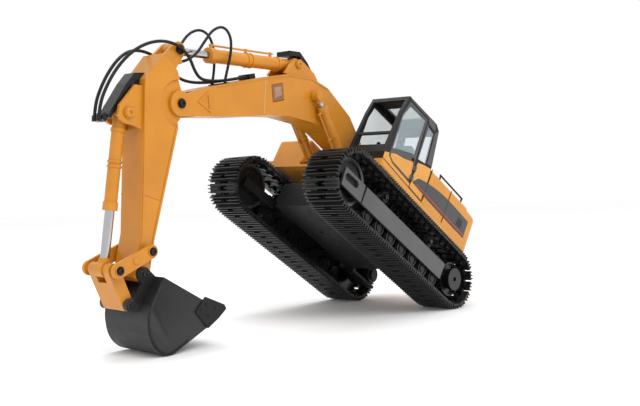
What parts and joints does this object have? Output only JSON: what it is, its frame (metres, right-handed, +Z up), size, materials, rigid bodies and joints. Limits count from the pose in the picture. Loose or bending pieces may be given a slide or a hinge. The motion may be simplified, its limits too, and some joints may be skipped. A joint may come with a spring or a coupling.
{
  "type": "rc excavator",
  "caption": "Tracked remote-control excavator standing nose-up on its tracks and bucket; swinging house, cab, boom, stick and bucket linkage all move.",
  "frame": {"origin": "on the floor under the middle of the bounding box", "axes": "+X from the machine towards its bucket, +Y to its left, +Z up"},
  "size_m": [0.4222, 0.16, 0.2489],
  "materials": {
    "battery_blue": "shrink wrap",
    "black_plastic": "fine-textured black moulding",
    "board_green": "circuit board",
    "bucket_steel": "dark grey enamel",
    "chrome": "polished rod",
    "gear_steel": "dark cast wheel",
    "glass": "clear glazing",
    "grey_plastic": "grey moulding",
    "hose_rubber": "black hose",
    "lamp": "clear lamp lens",
    "motor_steel": "bare can",
    "orange_paint": "satin orange-yellow enamel",
    "orange_plastic": "satin moulded plastic in the body colour",
    "plate_silver": "satin plate",
    "track_steel": "blackened steel shoes with worn edges"
  },
  "bodies": {
    "undercarriage": {"belly_frame": "black_plastic", "slew_ring": "gear_steel", "drive_motors": "motor_steel", "side_plates": "plate_silver", "carrier_rollers": "gear_steel", "track_frame_left": "black_plastic", "track_frame_right": "black_plastic", "track_left": "track_steel", "track_right": "track_steel"},
    "house": {"turntable": "orange_plastic", "house_shell": "orange_plastic", "counterweight": "orange_plastic", "cab_frame": "black_plastic", "cab_glass": "glass", "seat": "black_plastic", "battery_pack": "battery_blue", "control_board": "board_green", "swing_motor": "motor_steel", "hood_fittings": "black_plastic"},
    "cab_door": {"cab_door": "grey_plastic", "door_glass": "glass"},
    "boom": {"boom": "orange_paint", "boom_pins": "gear_steel", "work_light": "lamp", "hose_manifold": "black_plastic", "jumper_hose_far": "hose_rubber", "jumper_hose_near": "hose_rubber", "loop_hose_far": "hose_rubber", "loop_hose_near": "hose_rubber"},
    "boom_cylinder_barrels": {"boom_cylinder_barrels": "orange_paint"},
    "boom_cylinder_rods": {"boom_cylinder_rods": "chrome"},
    "stick_cylinder_barrel": {"stick_cylinder_barrel": "orange_paint"},
    "stick_cylinder_rod": {"stick_cylinder_rod": "chrome"},
    "stick": {"stick": "orange_paint", "stick_pins": "gear_steel", "actuator_housing": "black_plastic"},
    "bucket_cylinder_barrel": {"bucket_cylinder_barrel": "orange_paint"},
    "bucket_cylinder_rod": {"bucket_cylinder_rod": "chrome"},
    "rocker": {"rocker": "orange_paint"},
    "bucket_link": {"bucket_link": "orange_paint"},
    "bucket": {"bucket": "bucket_steel", "bucket_cutter": "bucket_steel"},
    "sprocket_left": {"sprocket_left": "gear_steel"},
    "idler_left": {"idler_left": "gear_steel"},
    "roller_left_1": {"roller_left_1": "gear_steel"},
    "roller_left_2": {"roller_left_2": "gear_steel"},
    "roller_left_3": {"roller_left_3": "gear_steel"},
    "roller_left_4": {"roller_left_4": "gear_steel"},
    "roller_left_5": {"roller_left_5": "gear_steel"},
    "roller_left_6": {"roller_left_6": "gear_steel"},
    "roller_left_7": {"roller_left_7": "gear_steel"},
    "sprocket_right": {"sprocket_right": "gear_steel"},
    "idler_right": {"idler_right": "gear_steel"},
    "roller_right_1": {"roller_right_1": "gear_steel"},
    "roller_right_2": {"roller_right_2": "gear_steel"},
    "roller_right_3": {"roller_right_3": "gear_steel"},
    "roller_right_4": {"roller_right_4": "gear_steel"},
    "roller_right_5": {"roller_right_5": "gear_steel"},
    "roller_right_6": {"roller_right_6": "gear_steel"},
    "roller_right_7": {"roller_right_7": "gear_steel"}
  },
  "joints": [
    {"name": "swing", "type": "hinge", "parent": "undercarriage", "child": "house", "pos_m": [-0.08346, 0, 0.10065], "axis": [-0.5524, 0, 0.8336], "continuous": true},
    {"name": "cab_door_hinge", "type": "hinge", "parent": "house", "child": "cab_door", "pos_m": [-0.08594, 0.07121, 0.1302], "axis": [-0.5524, 0, 0.8336], "range_deg": [0, 75]},
    {"name": "boom_lift", "type": "hinge", "parent": "house", "child": "boom", "pos_m": [-0.07727, 0.00168, 0.14554], "axis": [0.0465, -0.9984, 0.0308], "range_deg": [0, 45]},
    {"name": "boom_cylinder_tilt", "type": "hinge", "parent": "house", "child": "boom_cylinder_barrels", "pos_m": [-0.04875, 0.00268, 0.13504], "axis": [0.0465, -0.9984, 0.0308], "range_deg": [0, 44.09]},
    {"name": "boom_cylinder_stroke", "type": "slide", "parent": "boom_cylinder_barrels", "child": "boom_cylinder_rods", "axis": [0.5191, 0.0505, 0.8532], "range_m": [0, 0.02364]},
    {"name": "stick_swing", "type": "hinge", "parent": "boom", "child": "stick", "pos_m": [0.14362, 0.01317, 0.18454], "axis": [0.0465, -0.9984, 0.0308], "range_deg": [-45, 10], "deforming": ["jumper_hose_far", "jumper_hose_near", "loop_hose_far", "loop_hose_near"]},
    {"name": "stick_cylinder_tilt", "type": "hinge", "parent": "boom", "child": "stick_cylinder_barrel", "pos_m": [0.00901, 0.00824, 0.2279], "axis": [0.0465, -0.9984, 0.0308], "range_deg": [-2.61, 0.58]},
    {"name": "stick_cylinder_stroke", "type": "slide", "parent": "stick_cylinder_barrel", "child": "stick_cylinder_rod", "axis": [0.9988, 0.046, -0.0186], "range_m": [-0.00691, 0.0311]},
    {"name": "bucket_curl", "type": "hinge", "parent": "stick", "child": "bucket", "pos_m": [0.1816, 0.01111, 0.06036], "axis": [0.0465, -0.9984, 0.0308], "range_deg": [-15, 60]},
    {"name": "rocker_turn", "type": "hinge", "parent": "stick", "child": "rocker", "pos_m": [0.17648, 0.01137, 0.0764], "axis": [0.0465, -0.9984, 0.0308], "range_deg": [-10.93, 43.71]},
    {"name": "bucket_link_turn", "type": "hinge", "parent": "bucket", "child": "bucket_link", "pos_m": [0.19344, 0.01101, 0.03941], "axis": [0.0465, -0.9984, 0.0308], "range_deg": [-33.31, 8.33]},
    {"name": "bucket_cylinder_tilt", "type": "hinge", "parent": "stick", "child": "bucket_cylinder_barrel", "pos_m": [0.18937, 0.01502, 0.17515], "axis": [0.0465, -0.9984, 0.0308], "range_deg": [-0.8, 3.21]},
    {"name": "bucket_cylinder_stroke", "type": "slide", "parent": "bucket_cylinder_barrel", "child": "bucket_cylinder_rod", "axis": [0.1394, -0.0241, -0.9899], "range_m": [-0.02219, 0.00555]},
    {"name": "sprocket_left_turn", "type": "hinge", "parent": "undercarriage", "child": "sprocket_left", "pos_m": [-0.139, 0.0611, 0.02834], "axis": [0, 1, 0], "continuous": true},
    {"name": "idler_left_turn", "type": "hinge", "parent": "undercarriage", "child": "idler_left", "pos_m": [0.00479, 0.0611, 0.12362], "axis": [0, 1, 0], "continuous": true},
    {"name": "roller_left_1_turn", "type": "hinge", "parent": "undercarriage", "child": "roller_left_1", "pos_m": [-0.01622, 0.0611, 0.0935], "axis": [0, 1, 0], "continuous": true},
    {"name": "roller_left_2_turn", "type": "hinge", "parent": "undercarriage", "child": "roller_left_2", "pos_m": [-0.03172, 0.0611, 0.08323], "axis": [0, 1, 0], "continuous": true},
    {"name": "roller_left_3_turn", "type": "hinge", "parent": "undercarriage", "child": "roller_left_3", "pos_m": [-0.04723, 0.0611, 0.07296], "axis": [0, 1, 0], "continuous": true},
    {"name": "roller_left_4_turn", "type": "hinge", "parent": "undercarriage", "child": "roller_left_4", "pos_m": [-0.06273, 0.0611, 0.06268], "axis": [0, 1, 0], "continuous": true},
    {"name": "roller_left_5_turn", "type": "hinge", "parent": "undercarriage", "child": "roller_left_5", "pos_m": [-0.07824, 0.0611, 0.05241], "axis": [0, 1, 0], "continuous": true},
    {"name": "roller_left_6_turn", "type": "hinge", "parent": "undercarriage", "child": "roller_left_6", "pos_m": [-0.09374, 0.0611, 0.04213], "axis": [0, 1, 0], "continuous": true},
    {"name": "roller_left_7_turn", "type": "hinge", "parent": "undercarriage", "child": "roller_left_7", "pos_m": [-0.10925, 0.0611, 0.03186], "axis": [0, 1, 0], "continuous": true},
    {"name": "sprocket_right_turn", "type": "hinge", "parent": "undercarriage", "child": "sprocket_right", "pos_m": [-0.139, -0.0611, 0.02834], "axis": [0, 1, 0], "continuous": true},
    {"name": "idler_right_turn", "type": "hinge", "parent": "undercarriage", "child": "idler_right", "pos_m": [0.00479, -0.0611, 0.12362], "axis": [0, 1, 0], "continuous": true},
    {"name": "roller_right_1_turn", "type": "hinge", "parent": "undercarriage", "child": "roller_right_1", "pos_m": [-0.01622, -0.0611, 0.0935], "axis": [0, 1, 0], "continuous": true},
    {"name": "roller_right_2_turn", "type": "hinge", "parent": "undercarriage", "child": "roller_right_2", "pos_m": [-0.03172, -0.0611, 0.08323], "axis": [0, 1, 0], "continuous": true},
    {"name": "roller_right_3_turn", "type": "hinge", "parent": "undercarriage", "child": "roller_right_3", "pos_m": [-0.04723, -0.0611, 0.07296], "axis": [0, 1, 0], "continuous": true},
    {"name": "roller_right_4_turn", "type": "hinge", "parent": "undercarriage", "child": "roller_right_4", "pos_m": [-0.06273, -0.0611, 0.06268], "axis": [0, 1, 0], "continuous": true},
    {"name": "roller_right_5_turn", "type": "hinge", "parent": "undercarriage", "child": "roller_right_5", "pos_m": [-0.07824, -0.0611, 0.05241], "axis": [0, 1, 0], "continuous": true},
    {"name": "roller_right_6_turn", "type": "hinge", "parent": "undercarriage", "child": "roller_right_6", "pos_m": [-0.09374, -0.0611, 0.04213], "axis": [0, 1, 0], "continuous": true},
    {"name": "roller_right_7_turn", "type": "hinge", "parent": "undercarriage", "child": "roller_right_7", "pos_m": [-0.10925, -0.0611, 0.03186], "axis": [0, 1, 0], "continuous": true}
  ],
  "couplings": [
    {"joint": "boom_cylinder_tilt", "follows": "boom_lift", "ratio": 0.96056},
    {"joint": "boom_cylinder_stroke", "follows": "boom_lift", "m_per_rad": 0.029508},
    {"joint": "stick_cylinder_tilt", "follows": "stick_swing", "ratio": 0.056912},
    {"joint": "stick_cylinder_stroke", "follows": "stick_swing", "m_per_rad": -0.038823},
    {"joint": "rocker_turn", "follows": "bucket_curl", "ratio": 0.7142},
    {"joint": "bucket_link_turn", "follows": "bucket_curl", "ratio": -0.5443},
    {"joint": "bucket_cylinder_tilt", "follows": "bucket_curl", "ratio": 0.0525},
    {"joint": "bucket_cylinder_stroke", "follows": "bucket_curl", "m_per_rad": -0.02077},
    {"joint": "idler_left_turn", "follows": "sprocket_left_turn", "ratio": 1},
    {"joint": "roller_left_1_turn", "follows": "sprocket_left_turn", "ratio": 3.0946},
    {"joint": "roller_left_2_turn", "follows": "sprocket_left_turn", "ratio": 3.0946},
    {"joint": "roller_left_3_turn", "follows": "sprocket_left_turn", "ratio": 3.0946},
    {"joint": "roller_left_4_turn", "follows": "sprocket_left_turn", "ratio": 3.0946},
    {"joint": "roller_left_5_turn", "follows": "sprocket_left_turn", "ratio": 3.0946},
    {"joint": "roller_left_6_turn", "follows": "sprocket_left_turn", "ratio": 3.0946},
    {"joint": "roller_left_7_turn", "follows": "sprocket_left_turn", "ratio": 3.0946},
    {"joint": "idler_right_turn", "follows": "sprocket_right_turn", "ratio": 1},
    {"joint": "roller_right_1_turn", "follows": "sprocket_right_turn", "ratio": 3.0946},
    {"joint": "roller_right_2_turn", "follows": "sprocket_right_turn", "ratio": 3.0946},
    {"joint": "roller_right_3_turn", "follows": "sprocket_right_turn", "ratio": 3.0946},
    {"joint": "roller_right_4_turn", "follows": "sprocket_right_turn", "ratio": 3.0946},
    {"joint": "roller_right_5_turn", "follows": "sprocket_right_turn", "ratio": 3.0946},
    {"joint": "roller_right_6_turn", "follows": "sprocket_right_turn", "ratio": 3.0946},
    {"joint": "roller_right_7_turn", "follows": "sprocket_right_turn", "ratio": 3.0946}
  ]
}
